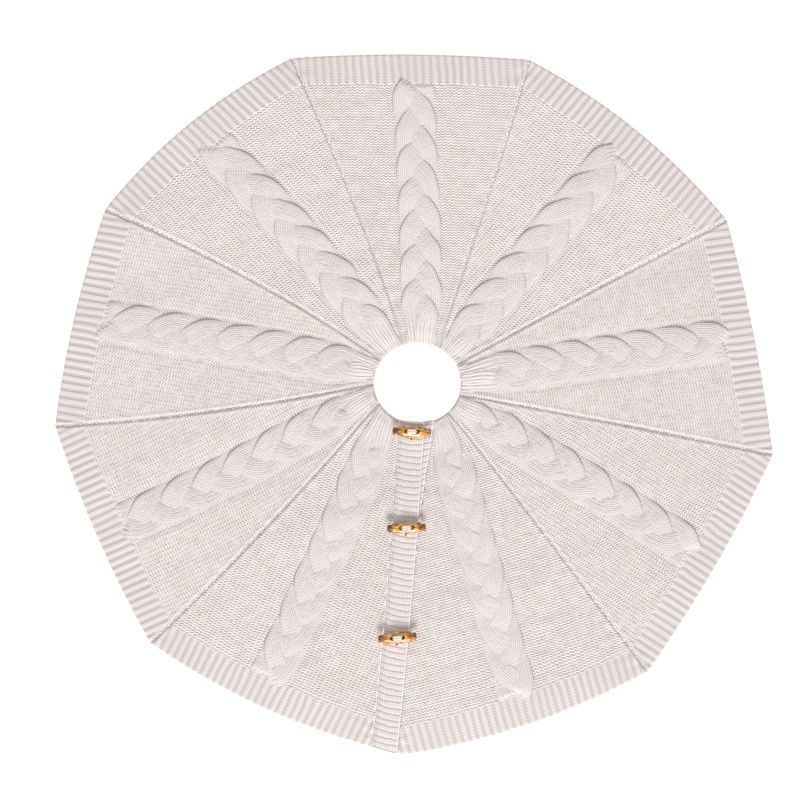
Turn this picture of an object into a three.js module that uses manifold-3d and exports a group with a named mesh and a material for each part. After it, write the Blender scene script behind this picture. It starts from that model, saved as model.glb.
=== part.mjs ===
// A cable-knit tree skirt: nine knitted gores round an open tree hole, sewn edge to edge with
// eight seams, and closed down the front by two ribbed bands with three wooden toggles.
// Millimetres, +Z up. It lies flat on the floor, with the origin at the middle of the floor
// rectangle that it covers. It is drawn about the middle of the tree hole, then moved.
import * as THREE from "three";
import { mergeVertices } from "three/addons/utils/BufferGeometryUtils.js";
import Module from "manifold-3d";

const wasm = await Module();
wasm.setup();

// ---- Driving dimensions ----
const clearance = 0.3; // between pieces that touch

// The tree hole, a little wider than it is deep as the skirt lies
const holeAcross = 148;
const holeDeep = 136;

// Knitted cloth
const clothThick = 6;
const hemDepth = 48; // the ribbed hem, measured in from the edge
const hemThick = 7;
const edgeRound = 1.5;

// The plait up the middle of each gore
const cableWide = 76;
const cableNeckWide = 30; // gathered in beside the hole
const cableGather = 130; // over this length
const cableTop = 13; // above the floor
const cableLobe = 57; // one lobe of the plait to the next on the same side
const cableWaist = 0.8; // width between two lobes, as a share of the full width

// Seams run from the neck edge to the hem corners. Angles are turned from +X about the hole's
// middle, and reach is out from it. Bow is how far the seam's middle swings anticlockwise, and
// bulge how far the hem before the seam swings out past a straight line.
const seams = [
  { neck: 316, hem: 308.7, reach: 629.5, bow: 3, bulge: 20 },
  { neck: 344, hem: 348.7, reach: 619, bow: 2, bulge: 10.2 },
  { neck: 388, hem: 387.8, reach: 597, bow: 2, bulge: 7.4 },
  { neck: 423, hem: 431, reach: 584, bow: -3, bulge: 22 },
  { neck: 467, hem: 471.1, reach: 595, bow: -9, bulge: 7.5 },
  { neck: 504, hem: 510.9, reach: 610, bow: -14, bulge: 23.2 },
  { neck: 540, hem: 546.7, reach: 623, bow: 10, bulge: 9.7 },
  { neck: 568, hem: 584.1, reach: 636, bow: 7, bulge: 10 },
];
const seamGap = 3; // between two gores, where the sewing yarn lies
const seamYarn = { wide: 2.4, bottom: 0.6, top: 4.6 };

// The front opening. Across is measured to the right of the buttonhole band's middle line, and
// along from the neck end of that line towards the hem.
const front = { x: -10.2, y: -74.4, turn: 265.2, length: 555, bow: 4, spare: 24 };
const frontCorner = { hem: 267.8, reach: 634.5, bulge: 23.3 };
const bandThick = 5;
const upperHalf = 22; // half the width of the buttonhole band
const upperFoot = 2.8; // the part of it that drops down beside the last gore
const lowerRight = { neck: 39.5, hem: 22, bow: -7 }; // the button band's sewn edge
const lowerLeft = { neck: -4.5, hem: -16, bow: -1 }; // its free edge, under the other band
const lowerThick = 6.6;

// Buttonholes and toggles
const slit = { long: 24, wide: 4.6, past: 3 }; // past is how far its middle lies towards the hem
const toggle = { long: 66, wide: 21, thick: 12, endWide: 11, lift: 3.4 };
const toggleHole = { apart: 19, wide: 6.8 };
const tie = { leg: 6.2, bridgeWide: 8, bridgeHigh: 4, bridgeLong: 22, shank: 3.8 };
const knot = { wide: 9, high: 2.6, bottom: 0.5 };
const toggles = [
  { name: "top", along: 7.2, across: 1.2, turn: -2 },
  { name: "middle", along: 170.3, across: 5.7, turn: 2 },
  { name: "bottom", along: 357.4, across: 5.9, turn: 5 },
];

// ---- Materials ----
function knit(color) {
  return new THREE.MeshStandardMaterial({ color, roughness: 0.95, metalness: 0 });
}
const ivoryKnit = knit(0xe3dad6);
const ivoryBand = knit(0xe9e0dc);
const ivoryYarn = knit(0xefe8e3);
const oiledWood = new THREE.MeshStandardMaterial({ color: 0xc98a3a, roughness: 0.5, metalness: 0 });

// ---- Solids ----
function solidOf(geometry) {
  const loose = geometry.index ? geometry.toNonIndexed() : geometry;
  loose.deleteAttribute("normal");
  loose.deleteAttribute("uv");
  const merged = mergeVertices(loose, 1e-4);
  return new wasm.Manifold(
    new wasm.Mesh({
      numProp: 3,
      vertProperties: merged.attributes.position.array,
      triVerts: new Uint32Array(merged.index.array),
    }),
  );
}

function geometryOf(solid) {
  const { vertProperties, triVerts } = solid.getMesh();
  const geometry = new THREE.BufferGeometry();
  geometry.setAttribute("position", new THREE.BufferAttribute(vertProperties, 3));
  geometry.setIndex(new THREE.BufferAttribute(triVerts, 1));
  geometry.computeVertexNormals();
  return geometry;
}

const skirt = new THREE.Group();

function add(name, solid, material) {
  const mesh = new THREE.Mesh(geometryOf(solid), material);
  mesh.name = name;
  skirt.add(mesh);
}

// An outline pulled up from one height to another. Its upper edge, or both, may be rounded.
function slab(shape, bottom, top, round = 0) {
  const geometry = new THREE.ExtrudeGeometry(shape, {
    depth: top - bottom - 2 * round,
    curveSegments: 8,
    bevelEnabled: round > 0,
    bevelThickness: round,
    bevelSize: round,
    bevelOffset: -round,
    bevelSegments: 2,
  });
  return solidOf(geometry.translate(0, 0, bottom + round));
}

function upright(width, bottom, top, sides = 20) {
  const geometry = new THREE.CylinderGeometry(width / 2, width / 2, top - bottom, sides);
  return solidOf(geometry.rotateX(Math.PI / 2).translate(0, 0, (top + bottom) / 2));
}

// ---- Plan ----
const radians = THREE.MathUtils.degToRad;

function neckPoint(angle) {
  const turn = radians(angle);
  return new THREE.Vector2((holeAcross / 2) * Math.cos(turn), (holeDeep / 2) * Math.sin(turn));
}

function hemPoint({ hem, reach }) {
  return new THREE.Vector2(reach * Math.cos(radians(hem)), reach * Math.sin(radians(hem)));
}

// The direction to the left of the way from one point to another
function leftOf(from, to) {
  const way = to.clone().sub(from).normalize();
  return new THREE.Vector2(-way.y, way.x);
}

// The curve between two points whose middle stands bow to the left of the straight line
function bowed(from, to, bow) {
  const middle = from.clone().add(to).multiplyScalar(0.5);
  middle.addScaledVector(leftOf(from, to), 2 * bow);
  return new THREE.QuadraticBezierCurve(from, middle, to);
}

// A line beside a seam, this far to its anticlockwise side
function seamLine(seam, aside) {
  const from = neckPoint(seam.neck);
  const to = hemPoint(seam);
  const shift = leftOf(from, to).multiplyScalar(aside);
  return bowed(from.add(shift), to.add(shift), seam.bow);
}

const frontWay = hemPoint({ hem: front.turn, reach: 1 });

function frontPoint(across, along) {
  const at = new THREE.Vector2(front.x, front.y).addScaledVector(frontWay, along);
  return at.addScaledVector(new THREE.Vector2(-frontWay.y, frontWay.x), across);
}

// A line down the front, from inside the hole to past the hem
function frontLine(neckAcross, hemAcross = neckAcross, bow = front.bow) {
  const from = frontPoint(neckAcross, -front.spare);
  const to = frontPoint(hemAcross, front.length + front.spare);
  return bowed(from, to, bow);
}

// The outline between a right-hand and a left-hand line, which may run straight on past both
// ends: a little way into the hole, and further past the hem
function between(right, left, spare = 0) {
  const outline = [...right.getPoints(12), ...left.getPoints(12).reverse()];
  const onward = (line, end) => line.getTangent(end).multiplyScalar(end === 0 ? -spare / 4 : spare);
  if (spare > 0) {
    outline.splice(13, 0, onward(right, 1).add(right.v2), onward(left, 1).add(left.v2));
    outline.push(onward(left, 0).add(left.v0), onward(right, 0).add(right.v0));
  }
  return new THREE.Shape(outline);
}

// ---- What all the cloth is trimmed to: the hem outside, and the hole inside ----
const gores = [...seams, frontCorner];
const corners = [frontCorner, ...gores].map(hemPoint);

function hemCurve(gore) {
  return bowed(corners[gore], corners[gore + 1], -gores[gore].bulge);
}

const trim = new THREE.Shape();
trim.moveTo(corners[0].x, corners[0].y);
gores.forEach((_, gore) => {
  const { v1, v2 } = hemCurve(gore);
  trim.quadraticCurveTo(v1.x, v1.y, v2.x, v2.y);
});
trim.holes.push(new THREE.Path().absellipse(0, 0, holeAcross / 2, holeDeep / 2, 0, 2 * Math.PI, true));

function trimmed(solid) {
  const options = { depth: 60, curveSegments: 12, bevelEnabled: false };
  return solid.intersect(solidOf(new THREE.ExtrudeGeometry(trim, options).translate(0, 0, -20)));
}

// ---- Gores ----
// Each is one knitted piece: purl cloth, a ribbed hem and a plait up the middle.
function hemRib(gore) {
  const outer = hemCurve(gore);
  const inward = leftOf(outer.v0, outer.v2).multiplyScalar(hemDepth);
  const from = outer.v0.clone().add(inward);
  const to = outer.v2.clone().add(inward);
  return between(outer, bowed(from, to, -gores[gore].bulge));
}

// Half the plait's outline: lobes down one side of the middle line, which point away from it
function cableSide(middle, side) {
  const length = middle.getLength();
  const step = cableLobe / 4;
  const points = [];
  for (let at = 0; at < length - hemDepth; at += step) {
    const centre = middle.getPointAt(at / length);
    const way = middle.getTangentAt(at / length);
    const lobe = Math.cos((2 * Math.PI * at) / cableLobe + (side * Math.PI) / 2);
    const gathered = Math.min(1, at / cableGather);
    const wide = THREE.MathUtils.lerp(cableNeckWide, cableWide, gathered);
    const half = (wide / 2) * (1 - (1 - cableWaist) * (0.5 - 0.5 * lobe));
    points.push(new THREE.Vector2(-way.y, way.x).multiplyScalar(side * half).add(centre));
  }
  return points;
}

const goreEdges = gores.map((seam, gore) => {
  const right = gore === 0
    ? frontLine(lowerRight.neck + clearance, lowerRight.hem + clearance, lowerRight.bow)
    : seamLine(seams[gore - 1], seamGap / 2);
  const left = seam === frontCorner ? frontLine(-upperHalf - clearance) : seamLine(seam, -seamGap / 2);
  return { right, left };
});

goreEdges.forEach(({ right, left }, gore) => {
  const outline = between(right, left, 30);
  const halfway = ["v0", "v1", "v2"].map((v) => right[v].clone().add(left[v]).multiplyScalar(0.5));
  const middle = new THREE.QuadraticBezierCurve(...halfway);
  const plait = new THREE.Shape([...cableSide(middle, -1), ...cableSide(middle, 1).reverse()]);
  const raised = slab(hemRib(gore), 0, hemThick).add(slab(plait, 1, cableTop, 4));
  const cloth = slab(outline, 0, clothThick, edgeRound).add(raised.intersect(slab(outline, -1, cableTop + 1)));
  add(`gore_${gore + 1}`, trimmed(cloth), ivoryKnit);
});

// ---- Seams ----
seams.forEach((seam, i) => {
  const half = seamYarn.wide / 2;
  const shape = between(seamLine(seam, -half), seamLine(seam, half));
  add(`seam_yarn_${i + 1}`, trimmed(slab(shape, seamYarn.bottom, seamYarn.top, 0.6)), ivoryYarn);
});

// ---- Bands down the front ----
const upperBottom = hemThick + clearance;
const upperTop = upperBottom + bandThick;

// The toggles' own places: the middle of each shank, and the way the toggle points
const places = toggles.map(({ name, along, across, turn }) => ({ name, turn, at: frontPoint(across, along) }));

function placed(solid, { at }, turn) {
  return solid.rotate([0, 0, turn]).translate([at.x, at.y, 0]);
}

let upper = slab(between(frontLine(upperHalf), frontLine(-upperHalf)), upperBottom, upperTop, edgeRound);
const foot = between(frontLine(upperFoot - upperHalf), frontLine(-upperHalf));
upper = upper.add(slab(foot, 0, upperTop - edgeRound));
const lowerEdges = [lowerRight, lowerLeft].map(({ neck, hem, bow }) => frontLine(neck, hem, bow));
let lower = slab(between(...lowerEdges), 0, lowerThick, edgeRound);

const slitShape = new THREE.Shape();
slitShape.absarc(0, slit.long / 2 - slit.wide / 2, slit.wide / 2, 0, Math.PI);
slitShape.absarc(0, slit.wide / 2 - slit.long / 2, slit.wide / 2, Math.PI, 2 * Math.PI);
const buttonhole = slab(slitShape, -5, 30).translate([0, -slit.past, 0]);
for (const place of places) {
  upper = upper.subtract(placed(buttonhole, place, front.turn + 90));
  const passage = upright(tie.shank + 2 * clearance, -5, 30);
  const recess = upright(knot.wide + 2 * clearance, -5, knot.bottom + knot.high + clearance);
  lower = lower.subtract(placed(passage.add(recess), place, 0));
}
add("buttonhole_band", trimmed(upper), ivoryBand);
add("button_band", trimmed(lower), ivoryBand);

// ---- Toggles ----
// A turned and flattened stick of wood with two holes through it, held by a loop of yarn. The
// loop's two ends go down through the buttonhole and the band below, to a knot under it.
const toggleBottom = upperTop + toggle.lift;
const toggleTop = toggleBottom + toggle.thick;
const profile = [
  [0, -toggle.long / 2],
  [toggle.endWide / 2 - 1, -toggle.long / 2],
  [toggle.endWide / 2, 1.2 - toggle.long / 2],
  [toggle.wide * 0.42, -toggle.long / 4],
  [toggle.wide / 2, 0],
  [toggle.wide * 0.42, toggle.long / 4],
  [toggle.endWide / 2, toggle.long / 2 - 1.2],
  [toggle.endWide / 2 - 1, toggle.long / 2],
  [0, toggle.long / 2],
].map(([radius, height]) => new THREE.Vector2(radius, height));
const stick = new THREE.LatheGeometry(profile, 20).rotateZ(Math.PI / 2);
stick.scale(1, 1, toggle.thick / toggle.wide).translate(0, 0, (toggleBottom + toggleTop) / 2);

const holeAt = [-toggleHole.apart / 2, toggleHole.apart / 2];
let wood = solidOf(stick);
let loop = upright(tie.shank, knot.bottom + 1, toggleBottom - 1);
for (const x of holeAt) {
  wood = wood.subtract(upright(toggleHole.wide, toggleBottom - 5, toggleTop + 5).translate([x, 0, 0]));
  const leg = upright(tie.leg, upperTop + clearance, toggleTop + tie.bridgeHigh / 2);
  loop = loop.add(leg.translate([x, 0, 0]));
}

// A lying bar of yarn with rounded ends
function bar(long, wide, high, bottom) {
  const capsule = new THREE.CapsuleGeometry(wide / 2, long - wide, 4, 14).rotateZ(Math.PI / 2);
  return solidOf(capsule.scale(1, 1, high / wide).translate(0, 0, bottom + high / 2));
}
loop = loop.add(bar(tie.bridgeLong, tie.bridgeWide, tie.bridgeHigh, toggleTop + clearance));
const slung = toggleBottom - upperTop - 2 * clearance;
loop = loop.add(bar(tie.bridgeLong, tie.leg, slung, upperTop + clearance));
const ball = new THREE.SphereGeometry(knot.wide / 2, 20, 10).rotateX(Math.PI / 2);
ball.scale(1, 1, knot.high / knot.wide).translate(0, 0, knot.bottom + knot.high / 2);
loop = loop.add(solidOf(ball));

for (const place of places) {
  add(`toggle_${place.name}`, placed(wood, place, place.turn), oiledWood);
  add(`toggle_tie_${place.name}`, placed(loop, place, place.turn), ivoryYarn);
}

// ---- The origin: the middle of the floor rectangle ----
const middle = new THREE.Box3().setFromObject(skirt).getCenter(new THREE.Vector3());
skirt.position.set(-middle.x, -middle.y, 0);

export default skirt;
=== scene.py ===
import math

import bmesh
import bpy
import numpy as np
from mathutils import Matrix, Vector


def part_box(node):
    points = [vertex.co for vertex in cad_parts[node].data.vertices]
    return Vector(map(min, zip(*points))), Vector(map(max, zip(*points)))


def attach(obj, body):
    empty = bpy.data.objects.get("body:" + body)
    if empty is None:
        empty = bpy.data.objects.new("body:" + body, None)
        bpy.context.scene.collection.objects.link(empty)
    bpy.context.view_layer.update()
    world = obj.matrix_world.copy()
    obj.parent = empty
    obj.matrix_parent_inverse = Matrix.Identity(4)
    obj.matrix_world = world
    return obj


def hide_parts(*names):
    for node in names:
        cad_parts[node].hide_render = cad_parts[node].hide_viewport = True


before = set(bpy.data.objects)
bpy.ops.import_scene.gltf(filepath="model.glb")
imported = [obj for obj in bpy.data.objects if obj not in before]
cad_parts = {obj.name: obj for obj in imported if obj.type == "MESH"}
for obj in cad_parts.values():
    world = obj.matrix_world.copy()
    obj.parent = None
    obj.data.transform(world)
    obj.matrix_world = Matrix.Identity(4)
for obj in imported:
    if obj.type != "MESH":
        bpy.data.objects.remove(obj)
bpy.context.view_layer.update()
mm = 0.001

# ---- The gores ----
# Nine knitted pieces round the tree hole, in a thick soft ivory yarn. Each is purl side up, with
# a one-and-one rib hem, a plait of twelve stitches up the middle, and its neck gathered in.

tie_low, tie_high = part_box("toggle_tie_top")
hole_x = (tie_low[0] + tie_high[0]) / 2 + 9.61 * mm
hole_y = (tie_low[1] + tie_high[1]) / 2 + 81.68 * mm
hole_across = 148 * mm
hole_deep = 136 * mm

stitch_wide = 7.4 * mm
stitch_high = 4.55 * mm
hem_stitches = 1.13  # the hem has this many for each one above it
hem_depth = 48 * mm
neck_depth = 20 * mm
plait_wide = 76 * mm
gathered_width = 14 * stitch_wide  # a gore narrower than this is drawn in
seam_gap = 1.2 * mm

# Each seam's turn at the neck and at the hem, its reach from the hole's middle, its bow, and
# the bulge of the hem before it
seams = [
    (316, 308.7, 629.5, 3, 20),
    (344, 348.7, 619, 2, 10.2),
    (388, 387.8, 597, 2, 7.4),
    (423, 431, 584, -3, 22),
    (467, 471.1, 595, -9, 7.5),
    (504, 510.9, 610, -14, 23.2),
    (540, 546.7, 623, 10, 9.7),
    (568, 584.1, 636, 7, 10),
]
front_turn = math.radians(265.2)
front_way = np.array([math.cos(front_turn), math.sin(front_turn)])
front_right = np.array([-front_way[1], front_way[0]])
front_start = np.array([-10.2, -74.4]) * mm
front_long = 555 * mm
front_spare = 24 * mm
front_corner = (267.8, 634.5)
front_bulge = 23.3

# A line down the front: how far across it is at the neck and at the hem, and its bow, in mm
first_gore_edge = (39.8, 22.3, -7)
last_gore_edge = (-22.3, -22.3, 4)


def left_of(start, end):
    way = (end - start) / np.linalg.norm(end - start)
    return np.array([-way[1], way[0]])


def bowed(start, end, bow):
    """The curve between two points whose middle stands bow to the left of the straight line."""
    middle = (start + end) / 2 + 2 * bow * left_of(start, end)

    def at(t):
        t = np.asarray(t)[..., None]
        return start * (1 - t) ** 2 + middle * 2 * t * (1 - t) + end * t**2

    return at


def neck_point(turn):
    turn = math.radians(turn)
    return np.array([hole_across / 2 * math.cos(turn), hole_deep / 2 * math.sin(turn)])


def hem_point(turn, reach):
    turn = math.radians(turn)
    return reach * mm * np.array([math.cos(turn), math.sin(turn)])


def seam_line(seam, aside):
    neck_turn, hem_turn, reach, bow, _ = seam
    start = neck_point(neck_turn)
    end = hem_point(hem_turn, reach)
    shift = aside * left_of(start, end)
    return bowed(start + shift, end + shift, bow * mm)


corners = [hem_point(*front_corner)] + [hem_point(turn, reach) for _, turn, reach, _, _ in seams]
corners.append(corners[0])
bulges = [seam[4] * mm for seam in seams] + [front_bulge * mm]
along_hem = np.linspace(0, 1, 200)
outline = np.concatenate([bowed(corners[i], corners[i + 1], -bulges[i])(along_hem) for i in range(9)])


def front_line(neck_across, hem_across, bow):
    """A line down the front opening, cut off at the hole and at the hem."""
    start = front_start - front_spare * front_way + neck_across * mm * front_right
    end = front_start + (front_long + front_spare) * front_way + hem_across * mm * front_right
    line = bowed(start, end, bow * mm)
    t = np.linspace(0, 1, 2001)
    points = line(t)
    outside = (points[:, 0] / hole_across) ** 2 + (points[:, 1] / hole_deep) ** 2 > 0.25
    nearest = np.argmin(((points[:, None] - outline[None]) ** 2).sum(-1).min(1))
    first, last = t[np.argmax(outside)], t[nearest]
    return lambda x: line(first + (last - first) * np.asarray(x))


def gore_edges(gore):
    right = seam_line(seams[gore - 1], seam_gap / 2) if gore > 0 else front_line(*first_gore_edge)
    left = seam_line(seams[gore], -seam_gap / 2) if gore < 8 else front_line(*last_gore_edge)
    return right, left


def smooth(x):
    x = np.clip(x, 0, 1)
    return x * x * (3 - 2 * x)


class Gore:
    """Where a gore's stitches lie: x across from its middle line, y out from the neck."""

    def __init__(self, number):
        self.right, self.left = gore_edges(number)
        ends = (self.right(np.array([0.0, 1.0])) + self.left(np.array([0.0, 1.0]))) / 2
        self.long = np.linalg.norm(ends[1] - ends[0])
        across = self.left(1.0) - self.right(1.0)
        across /= np.linalg.norm(across)
        beyond = outline - ends[1]
        out = beyond @ np.array([across[1], -across[0]])
        near = out > -40 * mm
        order = np.argsort(beyond[near] @ across)
        self.hem = (beyond[near] @ across)[order], out[near][order]
        self.bulge = self.hem[1].max()
        neck = self.width(np.array([0.0]))[0]
        self.neck_bulge = neck**2 / (4 * (hole_across + hole_deep) / 2)
        self.plait_aside = 6 * mm if number == 0 else 0

    def width(self, y):
        t = y / self.long
        return np.linalg.norm(self.left(t) - self.right(t), axis=-1)

    def drawn_in(self, y):
        """How far the stitches are squeezed together: 1 in open cloth, less beside the hole."""
        full = self.width(y) / gathered_width
        return 1 - 0.5 * (np.sqrt((1 - full) ** 2 + 0.02) + (1 - full))

    def place(self, x, y):
        t = y / self.long
        right, left = self.right(t), self.left(t)
        across = left - right
        width = np.linalg.norm(across, axis=-1)[..., None]
        across = across / width
        out = np.stack([across[..., 1], -across[..., 0]], -1)
        share = 1 - np.clip(2 * x[..., None] / width, -1, 1) ** 2
        t = np.clip(t, 0, 1)[..., None]
        swing = np.interp(x, *self.hem)[..., None] * t**3 + share * self.neck_bulge * (1 - t) ** 12
        plan = (right + left) / 2 + across * x[..., None] + out * swing
        px, py = plan[..., 0] + hole_x, plan[..., 1] + hole_y
        inside = share[..., 0] * smooth(t[..., 0] * 6) * smooth((1 - t[..., 0]) * 10)
        stray = 1.1 * mm * inside
        return px + stray * lie(3 * py, 3 * px), py + stray * lie(3 * px + 1, 3 * py)


waves = np.random.default_rng(7)
wave_ways = waves.uniform(0, 2 * math.pi, 14)
wave_longs = waves.uniform(90, 260, 14) * mm
wave_starts = waves.uniform(0, 2 * math.pi, 14)


def lie(x, y):
    """The cloth's soft rise and fall over the floor."""
    total = np.zeros_like(x)
    for way, long, start in zip(wave_ways, wave_longs, wave_starts):
        total += np.sin(2 * math.pi * (x * math.cos(way) + y * math.sin(way)) / long + start)
    return total / 14**0.5


uneven = np.clip(np.random.default_rng(3).normal(0, 1, (256, 256)), -1.8, 1.8)


def unevenness(u, v):
    """A random value for each stitch, passing smoothly into the next one's."""
    i, j = np.floor(u).astype(int), np.floor(v).astype(int)
    a, b = smooth(u - i), smooth(v - j)
    low = uneven[i % 256, j % 256] * (1 - a) + uneven[(i + 1) % 256, j % 256] * a
    high = uneven[i % 256, (j + 1) % 256] * (1 - a) + uneven[(i + 1) % 256, (j + 1) % 256] * a
    return low * (1 - b) + high * b


def grid_mesh(name, columns, rows, shape):
    """A grid of columns by rows whose vertices go where shape puts them. The result is a bmesh with the
    pattern's own u and v as its UV map, how much painted shade each vertex gets, mostly between the
    stitches, as its groove attribute, and doubled vertices merged."""
    bm = bmesh.new()
    bmesh.ops.create_grid(bm, x_segments=columns, y_segments=rows, size=1)
    mesh = bpy.data.meshes.new(name)
    bm.to_mesh(mesh)
    bm.free()
    co = np.empty(len(mesh.vertices) * 3, np.float32)
    mesh.vertices.foreach_get("co", co)
    co = co.reshape(-1, 3).astype(float)
    column = np.rint((co[:, 0] + 1) / 2 * columns)
    row = np.rint((co[:, 1] + 1) / 2 * rows)
    x, y, z, u, v, painted_shade = shape(column, row)
    mesh.vertices.foreach_set("co", np.stack([x, y, z], -1).astype(np.float32).ravel())
    corner = np.empty(len(mesh.loops), np.int32)
    mesh.loops.foreach_get("vertex_index", corner)
    uv = mesh.uv_layers.new(name="stitches")
    uv.data.foreach_set("uv", np.stack([u[corner], v[corner]], -1).astype(np.float32).ravel())
    groove = mesh.attributes.new("groove", "FLOAT", "POINT")
    groove.data.foreach_set("value", np.clip(painted_shade + np.zeros_like(x), 0, 1).astype(np.float32))
    bm = bmesh.new()
    bm.from_mesh(mesh)
    bpy.data.meshes.remove(mesh)
    bmesh.ops.remove_doubles(bm, verts=bm.verts, dist=0.02 * mm)
    return bm


def close_underneath(bm, height):
    """Walls down from the open edge to a flat underside at that height."""
    rim = [edge for edge in bm.edges if edge.is_boundary]
    wall = bmesh.ops.extrude_edge_only(bm, edges=rim)["geom"]
    for vertex in (item for item in wall if isinstance(item, bmesh.types.BMVert)):
        vertex.co.z = height
    foot = [edge for edge in wall if isinstance(edge, bmesh.types.BMEdge) and edge.is_boundary]
    bmesh.ops.holes_fill(bm, edges=foot, sides=0)


def joined(parts):
    """One bmesh with all the parts in it."""
    whole = bmesh.new()
    for part in parts:
        mesh = bpy.data.meshes.new("part")
        part.to_mesh(mesh)
        part.free()
        whole.from_mesh(mesh)
        bpy.data.meshes.remove(mesh)
    return whole


def finish_mesh(bm, name, material, body="skirt"):
    bmesh.ops.recalc_face_normals(bm, faces=bm.faces)
    mesh = bpy.data.meshes.new(name)
    bm.to_mesh(mesh)
    bm.free()
    mesh.materials.append(material)
    mesh.shade_smooth()
    piece = bpy.data.objects.new(name, mesh)
    bpy.context.scene.collection.objects.link(piece)
    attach(piece, body)
    return piece


class Socket:
    """A shader value that Python's arithmetic can work with."""

    def __init__(self, tree, source):
        self.tree = tree
        self.source = source

    def node(self, kind, settings, inputs, output=0):
        made = self.tree.nodes.new(kind)
        for key, value in settings.items():
            if key == "stops":
                ramp = made.color_ramp
                while len(ramp.elements) < len(value):
                    ramp.elements.new(0.5)
                for element, (position, color) in zip(ramp.elements, value):
                    element.position = position
                    element.color = (*color, 1)
            else:
                setattr(made, key, value)
        for key, value in inputs.items():
            if isinstance(value, Socket):
                self.tree.links.new(value.source, made.inputs[key])
            else:
                made.inputs[key].default_value = value
        return Socket(self.tree, made.outputs[output])

    def math(self, operation, a, b=0.0):
        return self.node("ShaderNodeMath", {"operation": operation}, {0: a, 1: b})

    def __add__(self, other):
        return self.math("ADD", self, other)

    def __sub__(self, other):
        return self.math("SUBTRACT", self, other)

    def __rsub__(self, other):
        return self.math("SUBTRACT", other, self)

    def __mul__(self, other):
        return self.math("MULTIPLY", self, other)

    __radd__ = __add__
    __rmul__ = __mul__

    def sine(self):
        return self.math("SINE", self)

    def mixed(self, first, second):
        """first where this value is 0, second where it is 1; both are colours."""
        settings = {"data_type": "RGBA"}
        inputs = {0: self, 6: first, 7: second}
        return self.node("ShaderNodeMix", settings, inputs, 2)


def new_material(name, roughness):
    material = bpy.data.materials.new(name)
    material.use_nodes = True
    tree = material.node_tree
    shader = next(node for node in tree.nodes if node.type == "BSDF_PRINCIPLED")
    shader.inputs["Roughness"].default_value = roughness
    places = tree.nodes.new("ShaderNodeTexCoord")
    return material, shader, Socket(tree, places.outputs["Object"]), Socket(tree, places.outputs["UV"])


def connect(value, shader, name):
    value.tree.links.new(value.source, shader.inputs[name])


groove_depth = 0.95  # how much of the way the grooves go to their darkest shade


def yarn(name, color, shade, bump=0.25):
    """Soft plied yarn, matt and slightly fuzzy, a little uneven in colour, and darkened as painted shade
    wherever its groove attribute is high.
    """
    material, shader, at, uv = new_material(name, 0.95)
    shader.inputs["Specular IOR Level"].default_value = 0.15
    shader.inputs["Sheen Weight"].default_value = 0.15
    shader.inputs["Sheen Roughness"].default_value = 0.6
    noise = "ShaderNodeTexNoise"
    cloudy = at.node(noise, {}, {"Vector": at, "Scale": 9.0, "Detail": 2.0})
    speckled = at.node(noise, {}, {"Vector": at, "Scale": 700.0, "Detail": 2.0})
    tone = (cloudy - 0.5) * 0.9 + (speckled - 0.5) * 1.1 + 0.5
    tone = tone.node("ShaderNodeClamp", {}, {"Value": tone})
    # Painted shade: where the groove attribute is high, the colour goes towards deep_shade, a darker
    # copy of the shade colour.
    groove = at.node("ShaderNodeAttribute", {"attribute_name": "groove"}, {}, 2)
    deep_shade = tuple(part * 0.62 for part in shade)
    groove = groove * groove_depth
    connect(groove.mixed(tone.mixed((*shade, 1), (*color, 1)), (*deep_shade, 1)), shader, "Base Color")
    fuzz = at.node(noise, {}, {"Vector": at, "Scale": 1500.0, "Detail": 3.0})
    across = uv.node("ShaderNodeSeparateXYZ", {}, {"Vector": uv}, 0)
    along = uv.node("ShaderNodeSeparateXYZ", {}, {"Vector": uv}, 1)
    plies = (across * 19.0 + along * 12.0 + fuzz * 3.0).sine()
    relief = fuzz * 0.7 + plies * 0.15
    bumped = relief.node("ShaderNodeBump", {}, {"Strength": bump, "Distance": 0.0006, "Height": relief})
    connect(bumped, shader, "Normal")
    return material


ivory = yarn("ivory_knit", (0.97, 0.895, 0.87), (0.88, 0.795, 0.77))

across_stitch = 4  # quads across each stitch
along_stitch = 4  # and up it


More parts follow.
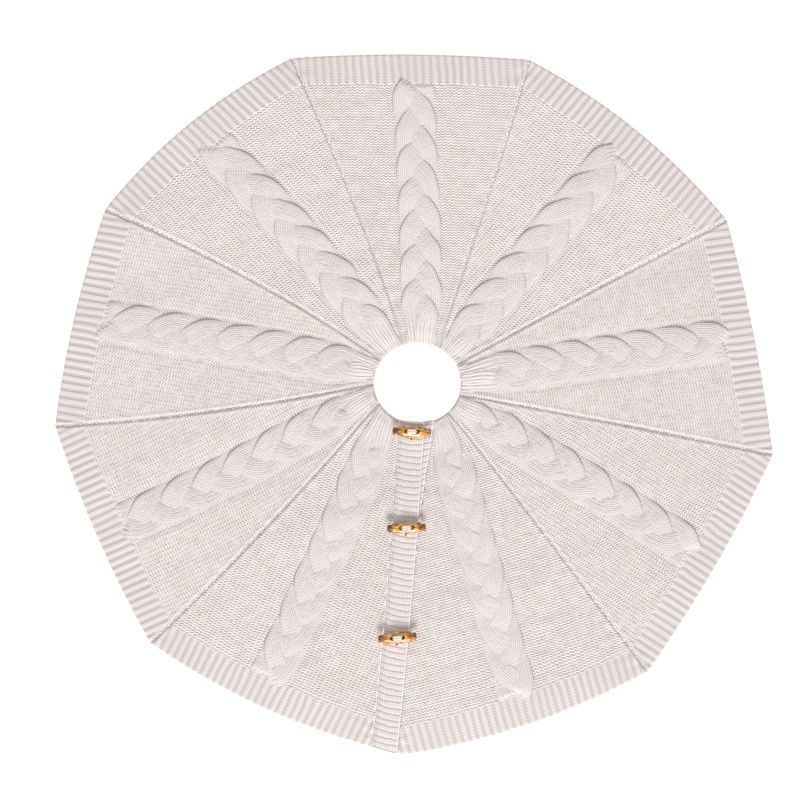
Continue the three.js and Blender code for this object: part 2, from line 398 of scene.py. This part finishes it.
def gore_cloth(gore, number):
    """The gore's face, with every stitch of its ground and its hem."""
    rows = round(gore.long / stitch_high) * along_stitch
    row_high = gore.long / rows
    sampled = np.linspace(0, gore.long, 200)
    full = gore.width(sampled) / gore.drawn_in(sampled) / stitch_wide
    columns = 2 * math.ceil(full.max() * across_stitch / 2)

    def shape(column, row):
        u = (column - columns / 2) / across_stitch
        v = row / along_stitch
        y = row * row_high
        squeeze = gore.drawn_in(y)
        half = gore.width(y) / 2
        edge_u = half / squeeze / stitch_wide
        u = np.clip(u, -edge_u, edge_u)
        x = u * stitch_wide * squeeze
        from_hem = gore.long - y
        hem = smooth((hem_depth - from_hem) / (3 * mm) + 0.5)
        neck = smooth((neck_depth - y) / (14 * mm) + 0.5)
        ribbed = np.maximum(hem, neck)
        purl = 1 - ribbed

        # A row of purl stitches waves once for each stitch; the rib's stitches are Vs
        wave = 0.30 * np.cos(2 * math.pi * u)
        leg = np.abs((u * hem_stitches + 0.5) % 1 - 0.5) * 2
        inside = smooth(y / (4 * mm)) * smooth(from_hem / (4 * mm))
        slid = (purl * wave + ribbed * 0.35 * leg) * stitch_high * inside
        jitter = unevenness(u * 1.7, v * 2.3) * 0.18 * mm * inside
        at_hem = smooth(1 - from_hem / (6 * mm)) * (0.5 - 0.5 * np.cos(math.pi * u))
        px, py = gore.place(x, np.clip(y + slid + jitter, 0, gore.long) - 0.4 * mm * at_hem)

        ridge = 0.5 - 0.5 * np.cos(2 * math.pi * v)
        arcs = 0.7 + 0.3 * np.abs(np.cos(2 * math.pi * u))
        loose = 1 + 0.16 * unevenness(u, v)
        purl_height = (3.2 + 2.9 * ridge * arcs * loose) * mm
        rib = u * hem_stitches
        from_purl = np.abs(rib % 2 - 1)
        groove = np.exp(-(((from_purl - 0.3) / 0.19) ** 2))
        sunk = smooth((0.55 - from_purl) / 0.4)
        crease = np.exp(-((((rib + 1) % 2 - 1) / 0.17) ** 2))
        rib_height = (5.5 - 1.9 * groove - 1.0 * sunk - 0.9 * crease + 0.5 * ridge * loose) * mm
        height = purl * purl_height + ribbed * rib_height

        # The cloth dips beside the plait, and rolls over into each seam
        beside = np.abs(x) - plait_wide / 2 * squeeze**0.8
        dip = np.exp(-((beside / (5 * mm)) ** 2)) * purl
        height -= 0.8 * mm * dip
        to_seam = half - np.abs(x)
        at_band = x < 0 if number == 0 else x > 0 if number == 8 else x > half
        to_seam = np.where(at_band, to_seam + 2.4 * mm, to_seam)
        roll = smooth((to_seam + 0.3 * mm) / (2.8 * mm))
        fold = np.exp(-(((to_seam - 5 * mm) / (2.5 * mm)) ** 2))
        ends = smooth((np.minimum(y, from_hem) + 1.5 * mm) / (5 * mm))
        pucker = np.sin(2 * math.pi * y / (27 * mm) + 9 * lie(px * 0.2, py * 0.2))
        pucker = pucker * np.exp(-to_seam / (16 * mm)) * smooth(to_seam / (4 * mm))
        height += lie(px, py) * 0.9 * mm + 0.8 * mm * fold * (1 - neck) + 0.8 * mm * pucker
        height = 1.2 * mm + (height - 1.2 * mm) * roll * ends
        # Painted shade: darker between the purl ridges (less where the stitches are drawn in), in the
        # rib's grooves, sunk stitches and creases, and darkest right at each seam; the rib is a little
        # darker all over.
        in_rib = 0.42 + 0.6 * groove + 0.3 * sunk + 0.36 * crease + 0.1 * (1 - ridge)
        painted_shade = purl * (0.03 + 0.85 * (1 - ridge * arcs) * (0.4 + 0.6 * squeeze)) + ribbed * in_rib
        painted_shade = np.maximum(painted_shade, np.exp(-((to_seam / (1.2 * mm)) ** 2)))
        return px, py, np.maximum(height, 1.0 * mm), u, v, painted_shade

    return grid_mesh("gore", columns, rows, shape)


strand_repeat = 171 * mm
strand_count = 3
strand_swing = 19 * mm
strand_half = 17.2 * mm
strand_stitches = 5
strand_thick = 2.6 * mm
strand_middle = 5.9 * mm
strand_over = 2.0 * mm
strand_aside = 1.9 * mm  # how much lower they lie at the plait's sides
gathered_long = 46 * mm  # the strands run straight this far out from the neck


def plait_strand(gore, which):
    """One of the plait's strands, five knitted stitches wide. It lies over the others on its way
    out from the middle and under them on its way back in."""
    start = 2 * mm
    end = gore.long - hem_depth + 2 * mm
    crossings = round((end - gathered_long) / strand_repeat * 6)
    straight_to = end - crossings * strand_repeat / 6
    rows = round((end - start) / stitch_high * 1.15) * 3
    top = 30
    columns = top + 5

    def shape(column, row):
        y = start + (end - start) * row / rows
        squeeze = gore.drawn_in(y) ** 0.8
        plaited = np.logaddexp(0, (y - straight_to) / (7 * mm)) * 7 * mm
        turn = 2 * math.pi * ((end - straight_to - plaited) / strand_repeat + which / strand_count)
        u = np.where(column <= top, 2 * column / top - 1, 1 - 2 * (column - top) / (columns - top))
        over = column <= top
        wale = (u + 1) * strand_stitches / 2
        leg = np.abs(wale % 1 - 0.5) * 2
        v = row / 3
        swing = strand_swing * squeeze / math.tanh(1.2)
        bend = np.tanh(1.2 * np.sin(turn))
        free = 1 / (1 + np.exp((straight_to - y) / (7 * mm)))
        slope = np.arctan(-swing * 2.4 * math.pi / strand_repeat * np.cos(turn) * (1 - bend**2) * free)
        p = u * strand_half * squeeze
        jitter = 0.35 * mm * unevenness(wale * 2 + 31 * which, v) * (1 - u**2)
        slid = np.where(over, 0.8 * (1 - leg) * stitch_high + jitter, 0)
        x = swing * bend + p * np.cos(slope) + slid * np.sin(slope)
        along = y - p * np.sin(slope) + slid * np.cos(slope)
        near_end = smooth((end - y) / (12 * mm))
        near_neck = smooth((y - start) / (20 * mm))
        held = near_end * free
        round_over = np.sqrt(np.maximum(0, 1 - np.abs(u) ** 2.6))
        ridge = 0.5 - 0.5 * np.cos(2 * math.pi * v)
        humps = np.abs(np.sin(2 * math.pi * wale)) ** 0.7
        drawn = np.abs(np.sin(0.8 * math.pi * wale + which)) ** 0.8
        humps = humps * free + drawn * (1 - free)
        stitches = ((1.3 + 0.3 * (1 - free)) * mm * humps + 1.0 * mm * ridge * free) * round_over
        stitches = stitches * (1 + 0.18 * unevenness(wale * 2 + 7 * which, v))
        base = strand_middle + strand_over * np.sin(2 * turn) * held - strand_aside * bend**2
        crown = (strand_thick - 1.2 * mm) * round_over + stitches
        z = np.where(over, base + crown, base - strand_thick * round_over)
        px, py = gore.place(x - gore.plait_aside * np.exp(-y / (130 * mm)), along)
        z = z + lie(px, py) * 0.9 * mm - (1 - near_end) * 4.6 * mm - (1 - near_neck) * 2.2 * mm
        # Painted shade: darker between the stitch humps and rows and towards each strand's edges, fully
        # dark on a strand's underside, and a little darker where gathered by the neck.
        between = 0.18 + 0.7 * (1 - humps) + 0.45 * (1 - ridge) * free + (1 - round_over) ** 2
        painted_shade = np.where(over, between, 1) + 0.22 * (1 - free)
        return px, py, np.maximum(z, 1.5 * mm), wale, v, painted_shade

    bm = grid_mesh("strand", columns, rows, shape)
    bmesh.ops.holes_fill(bm, edges=[edge for edge in bm.edges if edge.is_boundary], sides=0)
    return bm


for number in range(9):
    gore = Gore(number)
    bm = gore_cloth(gore, number)
    close_underneath(bm, 0.4 * mm)
    cloth = finish_mesh(bm, f"gore_cloth_{number + 1}", ivory)
    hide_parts(f"gore_{number + 1}")
    strands = joined(plait_strand(gore, which) for which in range(strand_count))
    plait = finish_mesh(strands, f"plait_{number + 1}", ivory)
    width = gore.width(np.linspace(0, gore.long, 50))
    area = float(width.mean() * gore.long + width[-1] * gore.bulge * 2 / 3)
    flat = (float(width.max()), float(gore.long + gore.bulge))

# ---- The seams ----
# Eight seams sewn in the same ivory yarn, laced from one gore's edge to the next. The yarn lies
# down in the groove between them, crossing it once in every row of stitches.

# The seam yarn is coloured darker than the ivory knit: painted shade of the groove it lies in.
seam_yarn = yarn("seam_yarn", (0.74, 0.68, 0.66), (0.62, 0.56, 0.54))
lacing = 9.1 * mm
lacing_swing = 1.2 * mm
seam_yarn_radius = 0.8 * mm


def swept(rows, around, radius, path, closed=False, upright=False):
    """A round yarn that follows path(t), with its ends closed unless the path is a loop. Upright
    is for a path that goes up and down, where the yarn's side can't be taken from the vertical."""

    def shape(column, row):
        t = row / rows
        centre = path(t)
        way = path(t + 0.5 / rows) - path(t - 0.5 / rows)
        way /= np.linalg.norm(way, axis=-1)[:, None]
        side = np.cross(way, (0.0, 1.0, 0.0) if upright else (0.0, 0.0, 1.0))
        side /= np.linalg.norm(side, axis=-1)[:, None]
        up = np.cross(side, way)
        turn = 2 * math.pi * column / around
        wrap = t * rows / 9
        plies = np.cos(3 * turn - 2 * math.pi * wrap)
        offset = side * np.cos(turn)[:, None] + up * np.sin(turn)[:, None]
        at = centre + radius * (1 + 0.09 * plies)[:, None] * offset
        # Painted shade: the yarn's groove value is darker between its plies.
        return at[:, 0], at[:, 1], at[:, 2], column / around * 2, wrap, 0.6 * (0.5 - 0.5 * plies)

    bm = grid_mesh("yarn", around, rows, shape)
    if not closed:
        bmesh.ops.holes_fill(bm, edges=[edge for edge in bm.edges if edge.is_boundary], sides=0)
    return bm


for number, seam in enumerate(seams):
    line = seam_line(seam, 0)
    start, end = line(np.array([0.0, 1.0]))
    turns = np.linalg.norm(end - start) / lacing
    across = left_of(start, end)

    def path(t):
        inside = 0.005 + 0.99 * t
        at = line(inside)
        phase = 2 * math.pi * turns * t
        at = at + across * (lacing_swing * np.sin(phase))[:, None]
        height = (1.5 + 0.5 * np.cos(2 * phase)) * mm
        return np.stack([at[:, 0] + hole_x, at[:, 1] + hole_y, height], -1)

    bm = swept(round(turns) * 10, 8, seam_yarn_radius, path)
    sewn = finish_mesh(bm, f"seam_{number + 1}", seam_yarn)
    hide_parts(f"seam_yarn_{number + 1}")

# ---- The bands down the front ----
# Two bands in one-and-one rib, picked up along the last gore's edge and the first one's, so
# their ribs lie crosswise. The upper one has a cast-off edge and three buttonholes along it.

rib_pitch = 10.45 * mm
band_course = 4.4 * mm
band_fine = 4  # quads to a course, and to a rib's stitch
raised_round = 15 * mm  # how far the band stands up round each toggle
button_band_edges = (39.5, 22, -7), (-4.5, -16, -1)
buttonhole_band_edges = (22, 22, 4), (-22, -22, 4)
toggle_names = ("top", "middle", "bottom")
toggle_places = []
for name in toggle_names:
    low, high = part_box(f"toggle_tie_{name}")
    toggle_places.append(np.array([(low[0] + high[0]) / 2, (low[1] + high[1]) / 2]))


def band(right, left, foot, top, holes):
    """A band between two lines down the front, from height foot up to about top. The one with
    holes is the upper one: it has a cast-off edge and comes down to the gore on the left."""
    right_line, left_line = front_line(*right), front_line(*left)
    ends = (right_line(np.array([0.0, 1.0])) + left_line(np.array([0.0, 1.0]))) / 2
    long = np.linalg.norm(ends[1] - ends[0])
    wide = np.linalg.norm(left_line(np.array([0.5])) - right_line(np.array([0.5])))
    rows = round(long / rib_pitch) * 2 * band_fine
    across = round(wide / band_course) * band_fine

    def shape(column, row):
        upper = (column <= across) | (column == 2 * across + 2)
        over = np.where(column <= across, column, 2 * across + 2 - column)
        share = np.clip(over / across, 0, 1)
        t = row / rows
        rib = row / band_fine
        course = share * wide / band_course
        leg = np.abs((rib + 0.5) % 1 - 0.5) * 2
        inside = smooth(np.minimum(share, 1 - share) * wide / (3 * mm))
        slid = (0.35 * leg - 0.1) * band_course * inside / wide
        share = np.clip(share + slid, 0, 1)
        r, l = right_line(t), left_line(t)
        wobble = 0.5 * mm * np.sin(2 * math.pi * t * long / (61 * mm) + share * 2)
        sag = 2.2 * mm * (1 - (2 * share - 1) ** 2) * smooth(np.minimum(t, 1 - t) * 20)
        astray = 0.6 * mm * unevenness(rib * 0.8, share * wide / band_course * 0.6) * inside
        plan = r + (l - r) * share[:, None] + front_way * (wobble * inside + sag + astray)[:, None]
        x, y = plan[:, 0] + hole_x, plan[:, 1] + hole_y
        from_right = share * wide
        from_left = wide - from_right
        ridge = 0.5 - 0.5 * np.cos(2 * math.pi * course)
        valley = np.exp(-(((rib % 2 - 1) / 0.36) ** 2))
        crease = np.exp(-((((rib + 1) % 2 - 1) / 0.2) ** 2))
        bumps = 0.8 * ridge * (1 + 0.25 * unevenness(rib, course))
        relief = 1.7 - 1.5 * valley - 0.5 * crease + bumps
        chain = np.exp(-(((from_right - 1.7 * mm) / (1.3 * mm)) ** 2))
        links = 0.75 + 0.25 * np.cos(2 * math.pi * rib)
        height = top + relief * mm
        if holes:
            height = height * (1 - chain) + (top + (1.2 + 1.3 * links) * mm) * chain
        to_edge = np.minimum(from_right, from_left)
        round_off = smooth(to_edge / (1.8 * mm) + 0.25)
        away = [((x - px) ** 2 + (y - py) ** 2) / raised_round**2 for px, py in toggle_places]
        near_toggle = sum(np.exp(-distance) for distance in away)
        lowered = smooth(1 - (from_left if holes else from_right) / (9 * mm))
        low = foot - (3.6 * mm if holes else 0) * lowered
        z = low + (height - foot - (0.6 if holes else 0.4) * mm * lowered) * round_off
        ends_off = smooth(np.minimum(t, 1 - t) * long / (4 * mm) + 0.3)
        z = low + (z - low) * ends_off
        z = np.where(upper, z + (1.8 * mm if holes else 0) * near_toggle, low)
        z = z + (0.9 * lie(x, y) * mm if holes else 0) * smooth(t * 8)
        # Painted shade: darker in the rib's valleys and creases and between courses, over a light shade
        # on the whole band, and less of it along the cast-off chain.
        painted_shade = 0.34 + 0.85 * valley * (1.25 - 0.8 * ridge) + 0.25 * crease + 0.35 * (1 - ridge)
        painted_shade = painted_shade * (1 - 0.6 * chain)
        return x, y, np.maximum(z, 0.4 * mm), rib, course, painted_shade

    bm = grid_mesh("band", 2 * across + 2, rows, shape)
    bmesh.ops.holes_fill(bm, edges=[edge for edge in bm.edges if edge.is_boundary], sides=0)
    return bm, (float(wide), float(long))


def cut_out(bm, bit):
    """The first solid with the second one cut out of it."""
    names = ("solid", "cutter")
    solid, cutter = (bpy.data.objects.new(name, bpy.data.meshes.new(name)) for name in names)
    for made, piece in ((bm, solid), (bit, cutter)):
        bmesh.ops.recalc_face_normals(made, faces=made.faces)
        made.to_mesh(piece.data)
        made.free()
        bpy.context.scene.collection.objects.link(piece)
    cut = solid.modifiers.new("cut", "BOOLEAN")
    cut.object = cutter
    cut.operation = "DIFFERENCE"
    cut.solver = "EXACT"
    result = solid.evaluated_get(bpy.context.evaluated_depsgraph_get()).to_mesh()
    out = bmesh.new()
    out.from_mesh(result)
    for piece in (solid, cutter):
        mesh = piece.data
        bpy.data.objects.remove(piece)
        bpy.data.meshes.remove(mesh)
    return out


slit_long = 24 * mm
slit_wide = 5.0 * mm
slit_past = 3 * mm  # how far its middle lies past the toggle's

lower, lower_size = band(*button_band_edges, 0.5 * mm, 4.2 * mm, False)
upper, upper_size = band(*buttonhole_band_edges, 7.4 * mm, 9.9 * mm, True)
slits = bmesh.new()
for place in toggle_places:
    made = bmesh.ops.create_cone(slits, cap_ends=True, segments=20, radius1=0.5, radius2=0.5, depth=0.04)
    bmesh.ops.scale(slits, verts=made["verts"], vec=(slit_wide, slit_long, 1))
    bmesh.ops.translate(slits, verts=made["verts"], vec=(0, -slit_past, 0))
    spin = Matrix.Rotation(front_turn + math.pi / 2, 3, "Z")
    bmesh.ops.rotate(slits, verts=made["verts"], cent=(0, 0, 0), matrix=spin)
    bmesh.ops.translate(slits, verts=made["verts"], vec=(*place, 0.02))
upper = cut_out(upper, slits)
for name, bm, size, on in (
    ("button_band", lower, lower_size, "floor"),
    ("buttonhole_band", upper, upper_size, "knitted_button_band"),
):
    knitted = finish_mesh(bm, f"knitted_{name}", ivory)
    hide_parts(name)

# ---- The toggles ----
# Three sticks of golden-brown wood, whittled to a neck near each end, each with two holes bored through
# it at a slant. The bores' walls are near-black, partly for wood charred dark inside and partly as
# painted shade of the holes' depth. The sticks are rubbed with a dark stain and varnished.

toggle_long = 66 * mm
toggle_wide = 21 * mm
toggle_thick = 12 * mm
toggle_bore = 7.6 * mm
toggle_bores_apart = 19 * mm
bore_foot = 2.5 * mm  # a bore's radius where it comes out
bore_long = 14 * mm
bore_slant = 2.2 * mm
bore_reach = 4.4 * mm  # a bore's wall is no further than this from its middle

wood, shader, at, uv = new_material("stained_wood", 0.38)
shader.inputs["Coat Weight"].default_value = 0.35
shader.inputs["Coat Roughness"].default_value = 0.2
streaked = at.node("ShaderNodeMapping", {}, {"Vector": at, "Scale": (60.0, 620.0, 620.0)})
grain = at.node("ShaderNodeTexNoise", {}, {"Vector": streaked, "Scale": 1.0, "Detail": 4.0})
blotch = at.node("ShaderNodeTexNoise", {}, {"Vector": at, "Scale": 130.0, "Detail": 2.0})
tone = grain * 0.65 + blotch * 0.35
browns = [
    (0.36, (0.13, 0.04, 0.006)),
    (0.45, (0.38, 0.14, 0.018)),
    (0.53, (0.68, 0.33, 0.05)),
    (0.66, (0.95, 0.66, 0.20)),
]
along = uv.node("ShaderNodeSeparateXYZ", {}, {"Vector": uv}, 1)
to_end = along.math("ABSOLUTE", along)
ends = {"Value": to_end, "From Min": 0.55, "From Max": 1.0, "To Min": 0.0, "To Max": 0.17}
scorched = to_end.node("ShaderNodeMapRange", {}, ends)
color = at.node("ShaderNodeValToRGB", {"stops": browns}, {"Fac": tone - scorched})
connect(color, shader, "Base Color")
relief = grain.node("ShaderNodeBump", {}, {"Strength": 0.35, "Distance": 0.0004, "Height": grain})
connect(relief, shader, "Normal")

charred_and_painted_shade, shader, at, uv = new_material("charred_bore_painted_shade", 0.9)
shader.inputs["Base Color"].default_value = (0.05, 0.018, 0.006, 1)


stick_rows = 96
stick_sides = 40


def whittled(place, turn, low, high, seed):
    """A stick that tapers to a small head at each end, with the knife's facets round it."""
    middle = (low + high) / 2
    knife = np.random.default_rng(seed)
    cuts = knife.uniform(0.90, 1.0, 10)
    lean = knife.uniform(-0.6, 0.6, 2) * mm

    def shape(column, row):
        t = 2 * row / stick_rows - 1
        around = 2 * math.pi * column / stick_sides
        body = 1 - 0.50 * np.abs(t) ** 2.1
        neck = 0.13 * np.exp(-(((np.abs(t) - 0.80) / 0.05) ** 2))
        head = 0.06 * np.exp(-(((np.abs(t) - 0.9) / 0.06) ** 2))
        end = np.sqrt(np.clip((1 - np.abs(t)) / 0.03, 0, 1))
        facet = np.interp((around * 5 / math.pi + 2 * t) % 10, np.arange(11), np.append(cuts, cuts[0]))
        radius = (body - neck + head) * end * facet
        x = t * toggle_long / 2
        y = radius * toggle_wide / 2 * np.cos(around) + lean[0] * t * t
        z = radius * toggle_thick / 2 * np.sin(around) + lean[1] * t
        cos, sin = math.cos(turn), math.sin(turn)
        px, py = x * cos - y * sin + place[0], x * sin + y * cos + place[1]
        return px, py, z + middle, column / stick_sides, t, 0 * t

    return grid_mesh("stick", stick_sides, stick_rows, shape)


def drill_bits(place, turn, height):
    """Two tapered bits, leaning in towards each other at the foot."""
    drill = bmesh.new()
    for side in (-1, 1):
        made = bmesh.ops.create_cone(
            drill,
            cap_ends=True,
            segments=24,
            radius1=bore_foot,
            radius2=toggle_bore / 2,
            depth=bore_long,
        )
        foot = [vertex for vertex in made["verts"] if vertex.co.z < 0]
        inward = -side * bore_slant
        bmesh.ops.translate(drill, verts=foot, vec=(inward * math.cos(turn), inward * math.sin(turn), 0))
        shift = side * toggle_bores_apart / 2
        to = (place[0] + shift * math.cos(turn), place[1] + shift * math.sin(turn), height)
        bmesh.ops.translate(drill, verts=made["verts"], vec=to)
    return drill


toggle_turns = {"top": -2, "middle": 2, "bottom": 5}
for number, (name, place) in enumerate(zip(toggle_names, toggle_places)):
    low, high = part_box(f"toggle_{name}")
    turn = math.radians(toggle_turns[name])
    stick = whittled(place, turn, low[2], high[2], 11 + number)
    bm = cut_out(stick, drill_bits(place, turn, (low[2] + high[2]) / 2))
    toggle = finish_mesh(bm, f"wooden_toggle_{name}", wood, f"{name}_toggle")
    # The bore walls take the near-black second material: charred wood, and painted shade of the holes'
    # depth.
    toggle.data.materials.append(charred_and_painted_shade)
    way = np.array([math.cos(turn), math.sin(turn)])
    for face in toggle.data.polygons:
        off = np.array(face.center[:2]) - place
        x, y = off @ way, off @ np.array([-way[1], way[0]])
        from_bore = math.hypot(abs(x) - toggle_bores_apart / 2, y)
        if abs(face.normal.z) < 0.6 and from_bore < bore_reach:
            face.material_index = 1
    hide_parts(f"toggle_{name}")

# ---- The toggles' ties ----
# Each toggle is held by white yarn passed twice through its holes. The ends go down through the
# buttonhole and the band below, and are knotted underneath.

tie_yarn = yarn("tie_yarn", (0.86, 0.83, 0.80), (0.76, 0.72, 0.69))
tie_radius = 1.9 * mm
for name, place in zip(toggle_names, toggle_places):
    low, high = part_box(f"toggle_{name}")
    floor_low, tie_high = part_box(f"toggle_tie_{name}")
    turn = math.radians(toggle_turns[name])
    way = np.array([math.cos(turn), math.sin(turn)])
    side = np.array([-way[1], way[0]])
    loop_low, loop_high = low[2] - 1.7 * mm, high[2] + 1.6 * mm
    parts = []
    for strand in (-1, 1):

        def loop(t):
            around = 2 * math.pi * np.asarray(t)
            c, s = np.cos(around), np.sin(around)
            x = np.sign(c) * np.abs(c) ** 0.35 * (toggle_bores_apart / 2 - 3.4 * mm)
            z = (loop_low + loop_high) / 2 + np.sign(s) * np.abs(s) ** 0.45 * (loop_high - loop_low) / 2
            apart = strand * 1.5 * mm * (0.75 + 0.45 * np.clip(s, 0, 1)) + 0.5 * mm * np.sin(around)
            at = place + way * x[:, None] + side * apart[:, None]
            return np.stack([at[:, 0], at[:, 1], z], -1)

        parts.append(swept(96, 12, tie_radius, loop, closed=True, upright=True))

    def shank(t):
        at = place + way * (0.3 * mm * np.sin(5 * t))[:, None]
        z = floor_low[2] + 1.5 * mm + t * (loop_low - floor_low[2] - 1.5 * mm)
        return np.stack([at[:, 0], at[:, 1], z], -1)

    parts.append(swept(30, 12, 1.8 * mm, shank, upright=True))
    knot = bmesh.new()
    bmesh.ops.create_uvsphere(knot, u_segments=20, v_segments=12, radius=4.3 * mm)
    bmesh.ops.scale(knot, verts=knot.verts, vec=(1, 1, 0.3))
    bmesh.ops.translate(knot, verts=knot.verts, vec=(*place, floor_low[2] + 1.4 * mm))
    parts.append(knot)
    tied = finish_mesh(joined(parts), f"yarn_tie_{name}", tie_yarn, f"{name}_toggle")
    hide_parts(f"toggle_tie_{name}")

# ---- Floor, light and camera ----
# A plain white floor, a soft light from the front, a weak lamp low down there, and a bright sky.

bm = bmesh.new()
bmesh.ops.create_grid(bm, x_segments=1, y_segments=1, size=20)
mesh = bpy.data.meshes.new("floor")
bm.to_mesh(mesh)
bm.free()
floor = bpy.data.objects.new("floor", mesh)
bpy.context.scene.collection.objects.link(floor)
white, shader, at, uv = new_material("white_floor", 1.0)
shader.inputs["Base Color"].default_value = (0.9, 0.9, 0.9, 1)
shader.inputs["Specular IOR Level"].default_value = 0.0
shader.inputs["Emission Color"].default_value = (1, 1, 1, 1)
shader.inputs["Emission Strength"].default_value = 0.5
mesh.materials.append(white)

world = bpy.data.worlds.new("sky")
bpy.context.scene.world = world
world.use_nodes = True
world.node_tree.nodes["Background"].inputs["Color"].default_value = (1, 1, 1, 1)
world.node_tree.nodes["Background"].inputs["Strength"].default_value = 0.65

sun_data = bpy.data.lights.new("front_light", "SUN")
sun_data.energy = 2.55
sun_data.angle = math.radians(22)
sun = bpy.data.objects.new("front_light", sun_data)
sun.rotation_euler = (math.radians(50), 0, math.radians(3))
bpy.context.scene.collection.objects.link(sun)

lamp_data = bpy.data.lights.new("low_light", "AREA")
lamp_data.energy = 2.4
lamp_data.size = 0.5
lamp = bpy.data.objects.new("low_light", lamp_data)
lamp.location = (0, -1.3, 1.0)
lamp.rotation_euler = (math.radians(40), 0, 0)
bpy.context.scene.collection.objects.link(lamp)

camera_data = bpy.data.cameras.new("camera")
camera_data.lens = 90
camera_data.sensor_width = 36
camera = bpy.data.objects.new("camera", camera_data)
framed = 1.365
camera.location = (-0.0239, 0.0083, framed * camera_data.lens / camera_data.sensor_width)
bpy.context.scene.collection.objects.link(camera)
bpy.context.scene.camera = camera
bpy.context.scene.view_settings.view_transform = "Standard"
